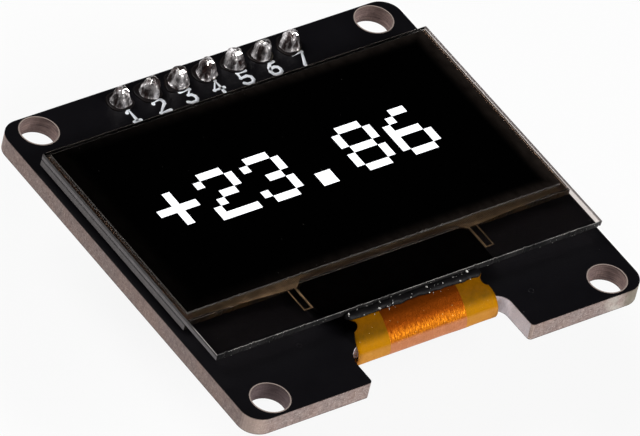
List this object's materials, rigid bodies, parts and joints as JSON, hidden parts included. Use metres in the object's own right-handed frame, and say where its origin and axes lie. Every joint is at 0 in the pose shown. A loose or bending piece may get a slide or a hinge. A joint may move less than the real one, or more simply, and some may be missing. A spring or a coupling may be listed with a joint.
{
  "type": "small oled display module",
  "caption": "Black circuit board with a slim glass display panel, a folded amber ribbon in its edge notch, a row of header pins and corner mounting holes.",
  "frame": {"origin": "centre of the four mounting holes, on the board's back face", "axes": "+X along the pin row, +Y from the ribbon notch towards the pin row, +Z out of the display's face"},
  "size_m": [0.0354, 0.0336, 0.0117],
  "materials": {
    "board": "satin black solder mask over a tan glass-fibre core",
    "foam": "matt black closed-cell foam",
    "glass": "clear polished glass with ground edges",
    "drying": "matt white sheet",
    "seal": "dark brown cured resin",
    "layers": "black mirror-smooth film",
    "polarizer": "glossy black film",
    "tracks": "thin tan metal tracks under glass",
    "silicon": "polished dark silicon",
    "resin": "glossy black cured resin",
    "bond": "amber bonding film",
    "film": "glossy amber polyimide film",
    "copper": "bright copper",
    "cover": "glossy amber cover film",
    "solder": "bright tin solder",
    "plating": "plated copper",
    "housing": "matt black moulded plastic",
    "chip_end": "tinned metal",
    "moulding": "matt black moulded plastic",
    "lead": "tinned metal",
    "pin": "gold-plated brass",
    "resistor": "black glazed top on ceramic",
    "capacitor": "tan fired ceramic",
    "ink": "pale blue-white printed ink",
    "lit": "lit white picture elements"
  },
  "bodies": {
    "root": {"circuit_board": "board", "foam_tape": "foam", "cap_glass": "glass", "drying_sheet": "drying", "edge_seal": "seal", "light_layers": "layers", "front_glass": "glass", "polarizer": "polarizer", "ledge_tracks": "tracks", "driver_chip": "silicon", "resin_block": "resin", "ribbon_bond": "bond", "ribbon_film": "film", "ribbon_conductors": "copper", "ribbon_cover": "cover", "ribbon_solder": "solder", "glue_bead": "resin", "board_pads": "plating", "hole_plating": "plating", "header_housing": "housing", "chip_ends": "chip_end", "chip_solder": "solder", "regulator_body": "moulding", "regulator_leads": "lead", "diode_body": "moulding", "diode_leads": "lead", "header_pin_1": "pin", "header_pin_2": "pin", "header_pin_3": "pin", "header_pin_4": "pin", "header_pin_5": "pin", "header_pin_6": "pin", "header_pin_7": "pin", "solder_joint_1": "solder", "solder_joint_2": "solder", "solder_joint_3": "solder", "solder_joint_4": "solder", "solder_joint_5": "solder", "solder_joint_6": "solder", "solder_joint_7": "solder", "resistor_1": "resistor", "resistor_2": "resistor", "resistor_3": "resistor", "resistor_4": "resistor", "resistor_5": "resistor", "resistor_6": "resistor", "capacitor_1": "capacitor", "capacitor_2": "capacitor", "capacitor_3": "capacitor", "capacitor_4": "capacitor", "capacitor_5": "capacitor", "capacitor_6": "capacitor", "capacitor_7": "capacitor", "capacitor_8": "capacitor"}
  },
  "joints": []
}
